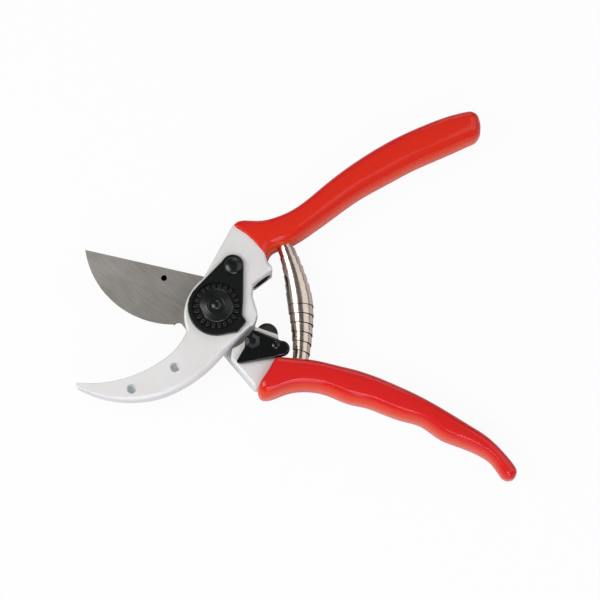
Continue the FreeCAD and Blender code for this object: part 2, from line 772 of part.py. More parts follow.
upper_rows = (
    (16.3, 28.3, 41.5, 13.6, 0.98, 7.0), (20.2, 31.6, 41.0, 10.8, 0.99, 4.5), (25.5, 35.6, 38.0, 8.2, 1.0, 3.2),
    (37.3, 41.1, 36.0, 6.6, 1.0, 2.6), (47.8, 49.7, 38.0, 7.0, 1.0, 2.5), (56.3, 56.5, 35.5, 7.4, 1.0, 2.5),
    (71.3, 66.2, 30.0, 8.1, 1.0, 2.5), (86.8, 74.1, 25.0, 8.3, 1.0, 2.5), (102.3, 80.5, 21.0, 7.8, 0.97, 2.5),
    (111.0, 83.7, 20.0, 6.6, 0.86, 2.4), (115.6, 85.3, 20.0, 4.4, 0.6, 2.3), (117.2, 85.9, 20.0, 1.6, 0.25, 2.2),
)
lower_rows = (
    (22.2, -29.4, -32.0, 9.3, 0.88, 5.0), (30.0, -30.1, -8.0, 7.9, 0.92, 3.2), (38.2, -29.6, -5.0, 6.9, 0.97, 2.6),
    (48.8, -31.3, -12.0, 6.4, 1.0, 2.5), (66.8, -36.3, -20.0, 6.8, 1.0, 2.5), (82.8, -43.2, -26.0, 6.2, 1.0, 2.5),
    (98.2, -51.2, -29.0, 6.4, 1.0, 2.5), (112.3, -59.3, -33.0, 5.6, 0.96, 2.5), (122.8, -67.0, -42.0, 5.2, 0.85, 2.4),
    (128.0, -72.6, -50.0, 4.0, 0.62, 2.3), (130.2, -75.4, -52.0, 1.5, 0.25, 2.2),
)

upper_casting = hook_handle()
lower_casting = blade_handle()
upper_peg = peg("upper_spring_peg", 0.0, True, upper_casting)
lower_peg = peg("lower_spring_peg", 1.0, False, lower_casting)
grip("hook_handle_grip", grip_stations("upper_grip", upper_rows), upper_casting, upper_peg,
     well("upper_well", 0.0, True), boss_bore)
grip("blade_handle_grip", grip_stations("lower_grip", lower_rows), lower_casting, lower_peg,
     well("lower_well", 1.0, False))
counter_blade()
counter_blade_rivets()
cutting_blade()
blade_fixing_pins()
pivot_bolt()
ring("pivot_washer", washer_base, washer_thick, bolt_head_radius, bolt_radius)
ring("pivot_bush", lower_head_base, lower_head_thick + blade_thick, bush_radius, bolt_radius + running_clearance)
adjusting_nut()
locking_segment()
headed_screw("segment_screw", segment_screw_spot, hub_top + segment_thick, size("segment_head_radius", 3.5),
             size("segment_head_thick", 1.4), segment_screw_radius, segment_thick + screw_depth)
thumb_catch()
catch_screw()
catch_washer()
rubber_cushion()
shock_absorber()
return_spring()

doc.recompute()
for feature in doc.Objects:
    if {"Invalid", "Error"} & set(feature.State):
        raise RuntimeError(f"{feature.Name} failed: {feature.State}")
for node in nodes:
    if node.Shape.isNull() or not node.Shape.isValid():
        raise RuntimeError(node.Label + " has no valid shape")
for node in nodes:
    node.Shape.exportStep(f"parts/{node.Label}.step")
    print(f"{node.Label:24s} {len(node.Shape.Solids)} solids {node.Shape.Volume:10.1f} mm3")
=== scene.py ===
# %% [markdown]
# # Pruning shears
# A pair of bypass shears lies open on pale paper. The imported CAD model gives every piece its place.
# Here each piece gets its finish, and the pieces that are soft or coiled get a surface of their own.

# %% Load the fixed frame
import math

import bpy
import numpy as np
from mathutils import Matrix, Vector


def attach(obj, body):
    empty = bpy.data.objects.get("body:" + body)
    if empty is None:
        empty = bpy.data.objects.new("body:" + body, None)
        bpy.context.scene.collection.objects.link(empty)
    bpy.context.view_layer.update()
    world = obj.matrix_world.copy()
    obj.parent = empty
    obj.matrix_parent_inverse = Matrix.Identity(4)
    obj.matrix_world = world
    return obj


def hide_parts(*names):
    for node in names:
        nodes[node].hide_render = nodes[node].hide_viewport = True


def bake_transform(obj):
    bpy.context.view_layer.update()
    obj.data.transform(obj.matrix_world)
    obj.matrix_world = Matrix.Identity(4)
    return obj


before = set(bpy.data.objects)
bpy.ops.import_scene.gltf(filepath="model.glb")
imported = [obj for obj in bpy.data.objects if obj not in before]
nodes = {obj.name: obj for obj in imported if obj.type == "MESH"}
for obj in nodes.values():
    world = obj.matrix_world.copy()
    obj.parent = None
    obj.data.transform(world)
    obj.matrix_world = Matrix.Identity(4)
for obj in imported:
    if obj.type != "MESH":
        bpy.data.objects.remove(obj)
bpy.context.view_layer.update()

MM = 0.001

# %% [markdown]
# ## Tools for meshes
# Every new piece is a sheet of points: rows run along the piece and columns run round it.
# Numpy works out the whole sheet at once, and one function turns it into a mesh.
# The sheet is turned inside out when its volume comes out negative, so that its faces point outwards.

# %% Make a mesh from a sheet of points
def sheet_faces(rows, columns):
    """Quads between each row and the next one, with the last column joined to the first."""
    row, column = np.meshgrid(np.arange(rows - 1), np.arange(columns), indexing="ij")
    after = (column + 1) % columns
    quads = [row * columns + column, row * columns + after,
             (row + 1) * columns + after, (row + 1) * columns + column]
    return np.stack(quads, -1).reshape(-1, 4)


def cap_faces(ring, centre):
    """Triangles from each pair of neighbours in a ring to the point in its middle."""
    return np.stack([np.roll(ring, -1), ring, np.full(len(ring), centre)], -1)


def signed_volume(points, triangles):
    """Sum of the small pyramids from the origin to each triangle: positive if the faces point outwards."""
    a, b, c = (points[triangles[:, k]] for k in range(3))
    return float(np.einsum("ij,ij->", a, np.cross(b, c))) / 6


def shade_smooth(mesh):
    """Shade every face as part of a smooth surface."""
    mesh.polygons.foreach_set("use_smooth", np.ones(len(mesh.polygons), bool))


def link_object(name, data):
    """A new object in the scene that shows the data."""
    made = bpy.data.objects.new(name, data)
    bpy.context.scene.collection.objects.link(made)
    return made


def tube_mesh(name, *sheets, sharp=None):
    """A closed mesh from sheets of points (rows, columns, 3) in mm: sides, and a cap at both ends of each.

    Edges sharper than the angle sharp, in degrees, are shaded as edges."""
    points, faces, count = [], [], 0
    for sheet in sheets:
        rows, columns = sheet.shape[:2]
        own = np.concatenate([sheet.reshape(-1, 3), sheet[[0, -1]].mean(axis=1)]) * MM
        quads = sheet_faces(rows, columns)
        first, last = np.arange(columns), np.arange(columns) + (rows - 1) * columns
        caps = np.concatenate([cap_faces(first, rows * columns), cap_faces(last[::-1], rows * columns + 1)])
        triangles = np.concatenate([quads[:, [0, 1, 2]], quads[:, [0, 2, 3]], caps])
        if signed_volume(own, triangles) < 0:
            quads, caps = quads[:, ::-1], caps[:, ::-1]
        faces += (quads + count).tolist() + (caps + count).tolist()
        points.append(own)
        count += len(own)
    mesh = bpy.data.meshes.new(name)
    mesh.from_pydata(np.concatenate(points), [], faces)
    shade_smooth(mesh)
    if sharp:
        mesh.set_sharp_from_angle(angle=math.radians(sharp))
    mesh.update()
    print(f"{name}: {len(mesh.polygons)} faces")
    return mesh


def set_attribute(mesh, name, *sheets):
    """Store one number for each point of each sheet; the two cap points of a sheet get 0."""
    attribute = mesh.attributes.new(name, "FLOAT", "POINT")
    values = np.concatenate([np.r_[sheet.ravel(), 0, 0] for sheet in sheets])
    attribute.data.foreach_set("value", values.astype(np.float32))


def add_piece(name, mesh, material, body, stands_for):
    """Put a mesh in the scene in place of CAD nodes, and attach it to its body if it has one."""
    piece = link_object(name, mesh)
    mesh.materials.append(material)
    if body:
        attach(piece, body)
    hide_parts(*stands_for)
    return piece


# %% [markdown]
# ## Tools for materials
# Colours are written as the hex numbers a painter's chart gives, and one function turns them linear.
# One more function adds a node with its settings and its links. Patterns are sized in real millimetres.

# %% Colour, node and scale helpers
def linear(hex_colour):
    """sRGB hex to linear light: the low end is a straight line, the rest a power of 2.4."""
    s = np.array([int(hex_colour[i:i + 2], 16) for i in (1, 3, 5)]) / 255
    return (*np.where(s <= 0.04045, s / 12.92, ((s + 0.055) / 1.055) ** 2.4), 1.0)


def add_node(tree, kind, inputs=None, **settings):
    """A node with its settings, and its sockets either set to a value or linked."""
    made = tree.nodes.new(kind)
    for key, value in settings.items():
        setattr(made, key, value)
    for key, value in (inputs or {}).items():
        if isinstance(value, bpy.types.NodeSocket):
            tree.links.new(value, made.inputs[key])
        else:
            made.inputs[key].default_value = value
    return made


def per_metre(size_mm):
    """The texture scale at which one feature is this many millimetres long."""
    return 1000 / size_mm


def new_material(name, **principled):
    """A Principled material, its tree and its shader; spaces in socket names are written as underscores."""
    material = bpy.data.materials.new(name)
    material.use_nodes = True
    shader = material.node_tree.nodes["Principled BSDF"]
    for key, value in principled.items():
        shader.inputs[key.replace("_", " ")].default_value = value
    return material, material.node_tree, shader


def object_coordinates(tree, scale=(1, 1, 1), turn=0.0):
    """The piece's own coordinates, turned about Z and then stretched."""
    source = add_node(tree, "ShaderNodeTexCoord")
    turned = add_node(tree, "ShaderNodeMapping", {"Vector": source.outputs["Object"],
                                                  "Rotation": (0, 0, math.radians(turn))})
    stretched = add_node(tree, "ShaderNodeMapping", {"Vector": turned.outputs["Vector"], "Scale": scale})
    return stretched.outputs["Vector"]


def noise(tree, size_mm, detail):
    """Noise from 0 to 1 in the piece's own coordinates, with features of the given size."""
    return add_node(tree, "ShaderNodeTexNoise", {
        "Vector": object_coordinates(tree), "Scale": per_metre(size_mm), "Detail": detail}).outputs["Fac"]


def mesh_value(tree, name):
    """The number that the mesh stores under this name at each point."""
    return add_node(tree, "ShaderNodeAttribute", attribute_name=name).outputs["Fac"]


def spread(tree, source, low, high):
    """Stretch a 0 to 1 value to the range low to high."""
    stretched = add_node(tree, "ShaderNodeMapRange", {"Value": source, "To Min": low, "To Max": high})
    return stretched.outputs["Result"]


def tint(tree, factor, first, second):
    """Mix two colours by a factor; each is a hex number, or the colour from another node."""
    first, second = (c if isinstance(c, bpy.types.NodeSocket) else linear(c) for c in (first, second))
    return add_node(tree, "ShaderNodeMix", {0: factor, 6: first, 7: second}, data_type="RGBA").outputs[2]


def bump(tree, shader, height, depth_mm, strength=1.0):
    """Raise the surface by a height from 0 to 1, as deep as is given in mm."""
    made = add_node(tree, "ShaderNodeBump", {"Height": height, "Distance": depth_mm * MM,
                                             "Strength": strength})
    tree.links.new(made.outputs["Normal"], shader.inputs["Normal"])


# %% [markdown]
# ## Lacquered forged aluminium
# The two handle castings are forged from aluminium and tumbled, and then sprayed with a silver-white lacquer.
# The lacquer hides the metal's mirror look: it is pale and satin, with a very fine orange-peel surface.

# %% Casting finish
def lacquered_aluminium():
    """Pale satin lacquer: a fine flake sets the gloss and the relief, and a broad cloud shifts the colour."""
    material, tree, shader = new_material("lacquered_forged_aluminium", Metallic=0.15, Coat_Weight=0.15,
                                          Coat_Roughness=0.35)
    flake = noise(tree, 0.5, 3.0)
    cloud = noise(tree, 14, 2.0)
    tree.links.new(tint(tree, cloud, "#d3d1cc", "#e2e1de"), shader.inputs["Base Color"])
    tree.links.new(spread(tree, flake, 0.42, 0.58), shader.inputs["Roughness"])
    bump(tree, shader, flake, 0.02, 0.6)
    return material


# %% [markdown]
# ## Dipped vinyl
# The warm handles are dipped into liquid vinyl and cured. The skin is thick, glossy and a little see-through.
# The flat faces are deep red; the walls get a lighter orange as painted light, for light crossing the skin.
# The grip's mesh carries a value called wall, 0 on the flats and 1 on the walls, that mixes in the painted
# orange.

# %% Grip finish
def dipped_vinyl():
    """Glossy red skin: deep red, a lighter orange of painted light by the wall value, a broad ripple, and a
    fine change of gloss.
    """
    material, tree, shader = new_material("dipped_red_vinyl", Specular_IOR_Level=0.3)
    ripple = noise(tree, 9, 1.0)
    fine = noise(tree, 1.2, 2.0)
    # painted light: the walls and the near slope turn from the deep red #cf2220 to a lighter orange #dc3a0a
    tree.links.new(tint(tree, mesh_value(tree, "wall"), "#cf2220", "#dc3a0a"), shader.inputs["Base Color"])
    tree.links.new(spread(tree, fine, 0.1, 0.18), shader.inputs["Roughness"])
    bump(tree, shader, ripple, 0.12, 0.35)
    return material


# %% [markdown]
# ## Ground tool steel
# The blade is ground on a wheel, which leaves fine straight scratches across its face.
# A noise that is stretched along one direction draws them. Real scratches are about 0.05 mm apart,
# which is too fine to show, so they are drawn about 0.3 mm apart. The small blind hole is painted near-black
# as shade.

# %% Blade finish
# painted shade: a near-black disc is painted over the small hole in the blade, where its inside lies in
# shadow
shaded_hole_centre, shaded_hole_radius = (-23.8, 15.0), 1.34


def ground_steel():
    """Bare steel: stretched noise for the scratches, a broad cloud, and a near-black disc of painted shade in
    the hole.
    """
    material, tree, shader = new_material("ground_tool_steel", Metallic=1.0)
    lines = add_node(tree, "ShaderNodeTexNoise", {
        "Vector": object_coordinates(tree, (per_metre(9), per_metre(0.32), per_metre(2)), 38), "Scale": 1.0,
        "Detail": 4.0, "Roughness": 0.75}).outputs["Fac"]
    both = add_node(tree, "ShaderNodeMix", {0: 0.5, 2: lines, 3: noise(tree, 30, 3.0)},
                    data_type="FLOAT").outputs[0]
    sharper = add_node(tree, "ShaderNodeMapRange", {"Value": both, "From Min": 0.3, "From Max": 0.7})
    plain = tint(tree, sharper.outputs["Result"], "#87837e", "#c6c1ba")
    flat_place = add_node(tree, "ShaderNodeVectorMath", {0: object_coordinates(tree), 1: (1, 1, 0)},
                          operation="MULTIPLY").outputs[0]
    hole_place = (shaded_hole_centre[0] * MM, shaded_hole_centre[1] * MM, 0)
    away = add_node(tree, "ShaderNodeVectorMath", {0: flat_place, 1: hole_place},
                    operation="DISTANCE").outputs["Value"]
    painted_shade_in_hole = add_node(tree, "ShaderNodeMath", {0: away, 1: shaded_hole_radius * MM},
                       operation="LESS_THAN").outputs[0]
    # painted shade: inside the hole's disc the steel turns near-black
    tree.links.new(tint(tree, painted_shade_in_hole, plain, "#0b0a09"), shader.inputs["Base Color"])
    tree.links.new(spread(tree, lines, 0.4, 0.56), shader.inputs["Roughness"])
    bump(tree, shader, lines, 0.03, 0.6)
    return material


# %% [markdown]
# ## Nickel-plated spring strip
# The spring is rolled from a strip of spring steel and plated with nickel, which is bright and slightly warm.

# %% Spring finish
def nickel_plate():
    """Bright plating, with a dark line of painted shade on the strip's lower edge, where the mesh's value is
    1.
    """
    material, tree, shader = new_material("nickel_plated_spring_strip", Metallic=1.0)
    rub = noise(tree, 2.5, 3.0)
    plate = tint(tree, rub, "#bdada0", "#dccfc4")
    # painted shade: the strip's lower edge turns dark brown #3a322a, as the gap under the next turn lies in
    # shadow
    tree.links.new(tint(tree, mesh_value(tree, "painted_shade_and_highlight"), plate, "#3a322a"), shader.inputs["Base Color"])
    tree.links.new(spread(tree, rub, 0.16, 0.3), shader.inputs["Roughness"])
    bump(tree, shader, rub, 0.01, 0.4)
    return material


# %% [markdown]
# ## Small parts
# The toothed nut, the locking plate and the screws are steel with a black lacquer.
# The thumb catch is moulded nylon. The stop and the bore's liner are rubber.
# Rivets, pins, spring pegs, bolt and washers are zinc plated. The bush that the blade turns on is bronze.

# %% Finishes of the small parts
def plain_finish(name, dark, light, low, high, grain_mm, depth_mm, highlight_colour=None, **principled):
    """A finish whose colour and gloss both follow one noise of the given grain size.

    With a highlight colour, that colour is painted as a highlight where the mesh's stored value is above 0."""
    material, tree, shader = new_material(name, **principled)
    grain = noise(tree, grain_mm, 4.0)
    colour = tint(tree, grain, dark, light)
    # painted highlight: the second colour is mixed in by the mesh's stored value
    if highlight_colour:
        colour = tint(tree, mesh_value(tree, "painted_shade_and_highlight"), colour, highlight_colour)
    tree.links.new(colour, shader.inputs["Base Color"])
    tree.links.new(spread(tree, grain, low, high), shader.inputs["Roughness"])
    bump(tree, shader, grain, depth_mm, 0.5)
    return material


aluminium = lacquered_aluminium()
vinyl = dipped_vinyl()
steel = ground_steel()
nickel = nickel_plate()
# the grey #8a8a7c is a painted highlight, shown only on the nut's tooth flanks
black_steel = plain_finish("black_lacquered_steel", "#040505", "#0c0f10", 0.2, 0.36, 0.8, 0.02, "#8a8a7c")
nylon = plain_finish("moulded_black_nylon", "#030404", "#0a0c0c", 0.14, 0.24, 0.6, 0.006)
rubber = plain_finish("moulded_rubber", "#120d0b", "#241b18", 0.55, 0.75, 0.5, 0.03)
zinc = plain_finish("zinc_plated_steel", "#a9afb1", "#c9cecf", 0.38, 0.55, 1.0, 0.02, Metallic=1.0)
bronze = plain_finish("sintered_bronze", "#94703f", "#b58d55", 0.35, 0.5, 0.6, 0.02, Metallic=1.0)
print("finishes:", [m.name for m in bpy.data.materials])

# %% [markdown]
# ## Soften the CAD edges
# A CAD edge is perfectly sharp, and real ones catch a line of light. The CAD meshes stay as they are.
# Modifiers on top of them join the loose triangles, merge the flat faces and then round the edges.

# %% Give each CAD node its finish
same_point_mm, same_plane_degrees, real_edge_degrees = 0.002, 0.6, 28


def dress(name, material, width_mm, segments):
    """Swap the material and round the edges by the given width."""
    node = nodes[name]
    node.data.materials.clear()
    node.data.materials.append(material)
    weld = node.modifiers.new("join", "WELD")
    weld.merge_threshold = same_point_mm * MM
    flat = node.modifiers.new("flatten", "DECIMATE")
    flat.decimate_type = "DISSOLVE"
    flat.angle_limit = math.radians(same_plane_degrees)
    bevel = node.modifiers.new("round", "BEVEL")
    bevel.width = width_mm * MM
    bevel.segments = segments
    bevel.limit_method = "ANGLE"
    bevel.angle_limit = math.radians(real_edge_degrees)
    shade_smooth(node.data)
    node.modifiers.new("even_light", "WEIGHTED_NORMAL")


# for each node: its material, the width of its rounded edges in mm, and the rounding's steps
finishes = {
    "cutting_blade": (steel, 0.12, 1), "counter_blade": (steel, 0.1, 1), "blade_fixing_pins": (zinc, 0.3, 3),
    "pivot_bolt": (zinc, 0.4, 3), "pivot_washer": (zinc, 0.1, 2), "pivot_bush": (bronze, 0.1, 2),
    "catch_washer": (zinc, 0.05, 1), "upper_spring_peg": (zinc, 0.2, 2), "lower_spring_peg": (zinc, 0.2, 2),
    "rubber_cushion": (rubber, 0.2, 2),
}
for name, (material, width, segments) in finishes.items():
    dress(name, material, width, segments)
print("dressed:", len(finishes), "nodes")

# %% [markdown]
# ## Turned parts
# Nut, screws and rivets are turned on a lathe: a profile goes round an axis.

# %% Revolve a profile
def rounded_profile(corners, steps=60, reach=0.22):
    """Even points along a chain of corners, averaged over the reach in mm with both ends held."""
    corners = np.array(corners, float)
    walked = np.r_[0, np.cumsum(np.hypot(*np.diff(corners, axis=0).T))]
    even = np.linspace(0, walked[-1], steps)
    line = np.stack([np.interp(even, walked, corners[:, k]) for k in range(2)], -1)
    weight = np.exp(-((even[:, None] - even) / reach) ** 2 / 2)
    smooth = weight @ line / weight.sum(axis=1, keepdims=True)
    smooth[[0, -1]] = line[[0, -1]]
    return smooth


def turned_sheet(centre, profile, columns=96, shape=None):
    """Each profile point (radius, height) becomes a circle: centre + radius * (cos, sin) of the angle.

    shape(angle, radius, height) may change its radius."""
    angle = np.linspace(0, 2 * math.pi, columns, endpoint=False)
    radius, height = (np.repeat(profile[:, k:k + 1], columns, axis=1) for k in range(2))
    if shape:
        radius = shape(angle, radius, height)
    return np.stack([centre[0] + radius * np.cos(angle), centre[1] + radius * np.sin(angle), height], -1)


def aimed(sheet, start, way):
    """Turn a sheet so that its own Z runs along the way, and move its origin to the start."""
    way = np.array(way, float) / np.linalg.norm(way)
    level = np.cross(way, [0, 0, 1.0])
    return np.array(start) + sheet @ np.stack([level, np.cross(way, level), way])


def rod(radius, low, high):
    """The sheet of a plain round rod, which is used to cut holes and seats."""
    return turned_sheet((0, 0), np.array([(radius, low), (radius, high)], float), 64)


# %% [markdown]
# ## The castings
# Both handles' metal parts are forged flat and then tumbled, which rounds every edge by a different amount.
# Along the hook's outer side the edge is round and soft, and along its inner side it is crisp.
# Each part is built from slabs: an outline, and a profile of wall and quarter-round carried along it.
# Corners in plan are rounded by averaging the outline along its length, as tumbling does.

# %% Slabs with rounded edges
outline_spacing = 0.3


def trace(corners):
    """Even points along a closed outline of corners (x, y, bend, edge).

    Each edge is a chord, or an arc of radius bend: the chord plus the arc's sagitta as a circle's height
    above it, bulging left of the way for a positive bend. edge is carried along as a third column."""
    corners = np.array([[x, y, bend or 0, edge] for x, y, bend, edge in corners], float)
    runs = []
    for start, end in zip(corners, np.roll(corners, -1, axis=0)):
        chord = end[:2] - start[:2]
        length = np.hypot(*chord)
        share = np.linspace(0, 1, max(int(length / outline_spacing), 1), endpoint=False)[:, None]
        run = np.hstack([start[:2] + share * chord, start[3] + share * (end[3] - start[3])])
        if start[2]:
            radius = abs(start[2])
            off = (share - 0.5) * length
            height = np.sqrt(radius ** 2 - off ** 2) - math.sqrt(radius ** 2 - length ** 2 / 4)
            left = np.array([-chord[1], chord[0]]) / length * math.copysign(1, start[2])
            run[:, :2] += height * left
        runs.append(run)
    loop = np.concatenate(runs)
    closed = np.vstack([loop, loop[:1]])
    walked = np.r_[0, np.cumsum(np.hypot(*np.diff(closed[:, :2], axis=0).T))]
    even = np.linspace(0, walked[-1], int(walked[-1] / outline_spacing), endpoint=False)
    return np.stack([np.interp(even, walked, closed[:, k]) for k in range(3)], -1)


def averaged(loop, reach_mm):
    """A closed run of values, each the bell-shaped average of its neighbours within the reach."""
    turns = np.fft.fftfreq(len(loop)) * 2 * math.pi * reach_mm / outline_spacing
    return np.fft.ifft(np.fft.fft(loop, axis=0) * np.exp(-turns ** 2 / 2)[:, None], axis=0).real


def slab_sheet(corners, low, high, corner_mm=1.0, low_edge=0.3, steps=7):
    """Rows of the outline: a quarter-round up from the bottom, the wall, and a quarter-round to the top.

    A row at angle a lies edge * (1 - cos a) inside the outline and edge * sin a above the round's start.
    The rounding shrinks where the outline turns sharply outwards, to 1 / (1 / edge + 1.3 * curvature)."""
    loop = averaged(trace(corners), corner_mm)
    ahead, behind = np.roll(loop, -1, axis=0), np.roll(loop, 1, axis=0)
    way = (ahead - behind)[:, :2] / 2
    bend = (ahead - 2 * loop + behind)[:, :2]
    speed = np.hypot(*way.T)
    area = np.sum(loop[:, 0] * ahead[:, 1] - loop[:, 1] * ahead[:, 0]) / 2
    side = math.copysign(1, area)
    outward = np.stack([way[:, 1], -way[:, 0]], -1) / speed[:, None] * side
    curvature = np.clip(side * (way[:, 0] * bend[:, 1] - way[:, 1] * bend[:, 0]) / speed ** 3, 0, None)
    edge = averaged((1 / (1 / loop[:, 2] + 1.3 * curvature))[:, None], corner_mm / 2)
    angle = np.linspace(0, math.pi / 2, steps)[:, None, None]
    top_inset, top_rise = edge * (1 - np.cos(angle)), high - edge + edge * np.sin(angle)
    small = np.minimum(edge, low_edge)
    low_inset, low_rise = small * (1 - np.cos(angle)), low + small - small * np.sin(angle)
    inset = np.concatenate([low_inset[::-1], top_inset])
    rise = np.concatenate([low_rise[::-1], top_rise])
    flat = loop[:, :2] - inset * outward
    return np.concatenate([flat, rise], -1)


def slab_mesh(name, corners, low, high, **options):
    """A slab's sheet with one flat face at its top and one at its bottom."""
    sheet = slab_sheet(corners, low, high, **options)
    rows, columns = sheet.shape[:2]
    quads = sheet_faces(rows, columns)
    points = sheet.reshape(-1, 3) * MM
    bottom, top = np.arange(columns)[::-1], np.arange(columns) + (rows - 1) * columns
    triangles = np.concatenate([quads[:, [0, 1, 2]], quads[:, [0, 2, 3]]])
    if signed_volume(points - points.mean(axis=0), triangles) < 0:
        quads, bottom, top = quads[:, ::-1], bottom[::-1], top[::-1]
    mesh = bpy.data.meshes.new(name)
    mesh.from_pydata(points, [], quads.tolist() + [bottom.tolist(), top.tolist()])
    shade_smooth(mesh)
    mesh.update()
    return mesh


def carve(name, first, others, tools, sharp=40):
    """One solid mesh: the first, joined with the others, less the tools; edges over the angle stay sharp."""
    base = link_object(name, first)
    helpers = []
    for mesh, way in [(m, "UNION") for m in others] + [(m, "DIFFERENCE") for m in tools]:
        helper = link_object(name + "_helper", mesh)
        step = base.modifiers.new(way.lower(), "BOOLEAN")
        step.object, step.operation, step.solver = helper, way, "EXACT"
        helpers.append(helper)
    finished = bpy.data.meshes.new_from_object(base.evaluated_get(bpy.context.evaluated_depsgraph_get()))
    for helper in [base] + helpers:
        bpy.data.objects.remove(helper)
    finished.name = name
    shade_smooth(finished)
    finished.set_sharp_from_angle(angle=math.radians(sharp))
    print(f"{name}: {len(finished.polygons)} faces")
    return finished


def even_light(piece):
    """Large flat faces decide the shading at the edges of the rounds."""
    piece.modifiers.new("even_light", "WEIGHTED_NORMAL").keep_sharp = True


def polar(radius, degrees):
    """The point at this distance and direction from the pivot, which is the origin."""
    return radius * math.cos(math.radians(degrees)), radius * math.sin(math.radians(degrees))


# %% [markdown]
# ## The upper casting
# One forging is the hook, the hub round the bolt, the neck that enters the grip, and the boss with its bore.
# The rubber stop enters the boss's bore when the handles close, and the bore is lined with rubber.
# Two slabs joined into one, less a rod for the bore, give each height its own outline.

# %% The upper casting: hook, hub, neck and boss
boss_inner, boss_face = (15.91, 10.67), (19.90, 13.68)
boss_way = np.array([*polar(1, 127), 0])
stop_height = 8.2
plate_outline = [
    (-61.2, -34.0, -53.8, 0.35), (-25.1, -24.9, -28.6, 0.5), (-13.1, -10.5, 20.3, 1.2),
    (-6.3, 12.9, None, 1.3), (6.6, 37.4, None, 1.3), (8.6, 38.9, None, 1.0), (12.0, 38.4, None, 1.0),
    (19.5, 31.0, None, 1.0),
    (22.2, 21.2, None, 1.6), (24.2, 18.8, 2.2, 2.2), (24.5, 17.15, None, 1.8), (*boss_inner, None, 1.6),
    (15.6, 5.6, None, 1.6), (*polar(18.2, -8), 18.2, 1.4), (*polar(18.2, -26), None, 0.8),
    (*polar(17.0, -31), None, 0.8), (9.8, -13.4, None, 1.2), (3.6, -19.6, 60.0, 2.4),
    (-23.1, -39.6, 48.0, 2.8), (-59.9, -36.4, 1.6, 0.5),
]
neck_outline = [
    (2.0, 25.0, None, 1.0), (8.8, 38.3, None, 1.0), (11.8, 38.0, None, 1.0), (19.3, 30.9, None, 1.0),
    (22.0, 21.3, None, 1.0), (24.1, 18.8, 2.2, 1.0), (24.4, 17.2, None, 1.0),
    (boss_inner[0] - 0.05, boss_inner[1] + 0.05, None, 1.0),
]
bore_mouth = np.array([*boss_face, stop_height])
upper_mesh = carve(
    "upper_casting", slab_mesh("plate", plate_outline, 10.4, 17.5, corner_mm=0.7),
    [slab_mesh("neck", neck_outline, 2.4, 14.0, corner_mm=0.9, low_edge=1.2)],
    [tube_mesh("bore", aimed(rod(4.75, -2, 6.1), bore_mouth, boss_way))])
even_light(add_piece("upper_casting", upper_mesh, aluminium, "hook_handle",
                     ["hook_handle"]))

liner_profile = rounded_profile([(4.6, 4.1), (4.6, 0.45), (4.74, 0.4), (4.74, 6.0)], 60, 0.05)
liner_sheet = aimed(turned_sheet((0, 0), liner_profile, 64), bore_mouth, boss_way)
add_piece("bore_liner", tube_mesh("bore_liner", liner_sheet, sharp=40), rubber, "hook_handle",
          ["shock_absorber"])

# %% [markdown]
# ## The lower casting
# It is thin where it passes under the blade and thick behind, where the catch turns and the stop sits.
# A thin slab and a thick one, joined, make the step between the two.

# %% The lower casting: head, arm and the block under the catch
shoulder_inner, shoulder_outer = (17.48, -7.98), (26.94, -11.24)
arm_outline = [
    (*polar(14.0, 150), -14.0, 0.8), (*polar(14.0, 15), None, 0.8), (*shoulder_inner, None, 0.8),
    (*shoulder_outer, None, 1.2), (27.0, -28.0, None, 1.2), (16.8, -35.5, None, 1.2), (2.0, -17.8, None, 0.8),
    (*polar(14.0, 230), -14.0, 0.8),
]
block_outline = [
    (*shoulder_inner, None, 1.0), (*polar(18.9, -29), 18.9, 0.6), (*polar(18.9, -69), None, 0.8),
    (6.0, -22.6, None, 1.5), (16.8, -35.5, None, 1.8), (25.0, -35.0, None, 1.2), (29.0, -25.0, None, 1.2),
    (*shoulder_outer, None, 1.4),
]
lower_mesh = carve("lower_casting", slab_mesh("arm", arm_outline, 2.0, 7.0, corner_mm=0.8),
                   [slab_mesh("block", block_outline, 2.1, 13.5, corner_mm=0.8, low_edge=1.0)], [])
even_light(add_piece("lower_casting", lower_mesh, aluminium, "blade_handle",
                     ["blade_handle"]))

# %% [markdown]
# ## The grips
# A grip is made by dipping, so it has no seam: it follows the handle and ends in a soft lip on the metal.
# It could be sculpted, but its two side edges and its thickness say all that there is to say.
# Each cross-section is a squarish oval between the far edge and the near edge of the handle.

# %% Curves through given stations
def natural_spline(knots, steps):
    """A cubic curve through every knot whose bending is zero at both ends, at even steps along its length.

    knots is an array with one row a knot. The first four columns are the far and near edge points; the
    curve's parameter is the distance along their middles. The second derivatives solve one linear system."""
    middles = (knots[:, 0:2] + knots[:, 2:4]) / 2
    t = np.r_[0, np.cumsum(np.linalg.norm(np.diff(middles, axis=0), axis=1))]
    h = np.diff(t)
    system = np.eye(len(t))
    inner = np.arange(1, len(t) - 1)
    system[inner, inner - 1] = h[:-1]
    system[inner, inner] = 2 * (h[:-1] + h[1:])
    system[inner, inner + 1] = h[1:]
    slopes = np.diff(knots, axis=0) / h[:, None]
    bends = np.zeros_like(knots)
    bends[1:-1] = 6 * np.diff(slopes, axis=0)
    bends = np.linalg.solve(system, bends)
    where = np.linspace(0, t[-1], steps)
    k = np.clip(np.searchsorted(t, where, side="right") - 1, 0, len(h) - 1)
    a, b, span = (t[k + 1] - where)[:, None], (where - t[k])[:, None], h[k][:, None]
    curve = (bends[k] * a ** 3 + bends[k + 1] * b ** 3) / (6 * span)
    curve += (knots[k] / span - bends[k] * span / 6) * a + (knots[k + 1] / span - bends[k + 1] * span / 6) * b
    return where, curve


def round_inset(distance, radius):
    """How far a quarter-round edge lies inside the full outline, at a distance from the end."""
    short = np.clip(radius - distance, 0, radius)
    return radius - np.sqrt(radius ** 2 - short ** 2)


